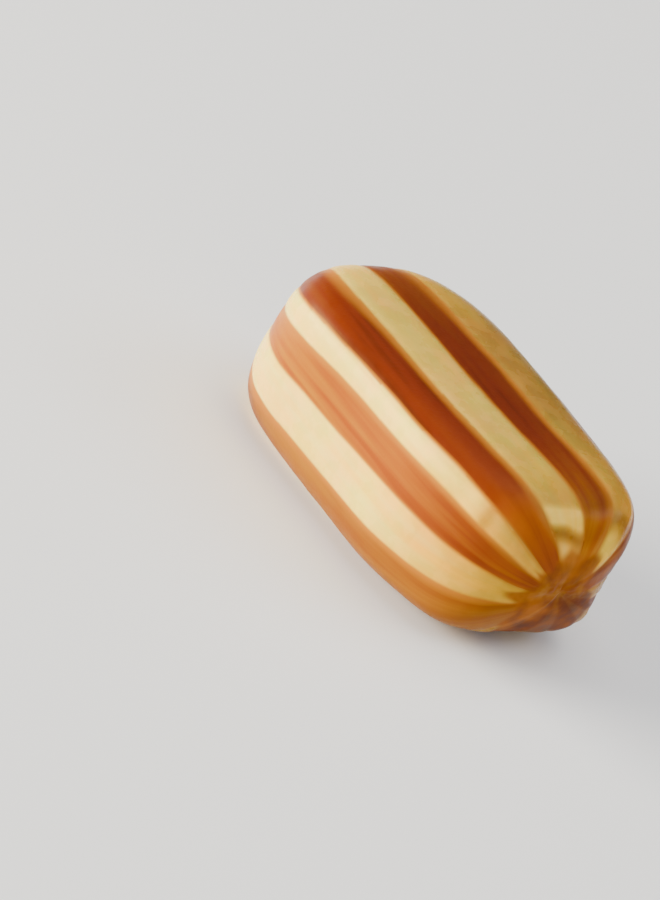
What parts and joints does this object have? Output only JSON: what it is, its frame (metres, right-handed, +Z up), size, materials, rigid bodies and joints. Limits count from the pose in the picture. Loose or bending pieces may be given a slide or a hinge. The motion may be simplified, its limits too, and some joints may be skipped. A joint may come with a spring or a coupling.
{
  "type": "mint humbug",
  "caption": "Boiled sweet in the form of a rounded square bar, pinched off at both ends, with cream and amber stripes along it.",
  "frame": {"origin": "centre of the footprint, on the surface that the sweet lies on", "axes": "+X along the bar towards the end with the wider pinch facet, +Z up"},
  "size_m": [0.028, 0.0148, 0.0111],
  "materials": {
    "striped_sugar": "smooth glossy boiled sugar, alternate stripes of opaque cream and translucent amber"
  },
  "bodies": {
    "root": {"humbug": "striped_sugar"}
  },
  "joints": []
}
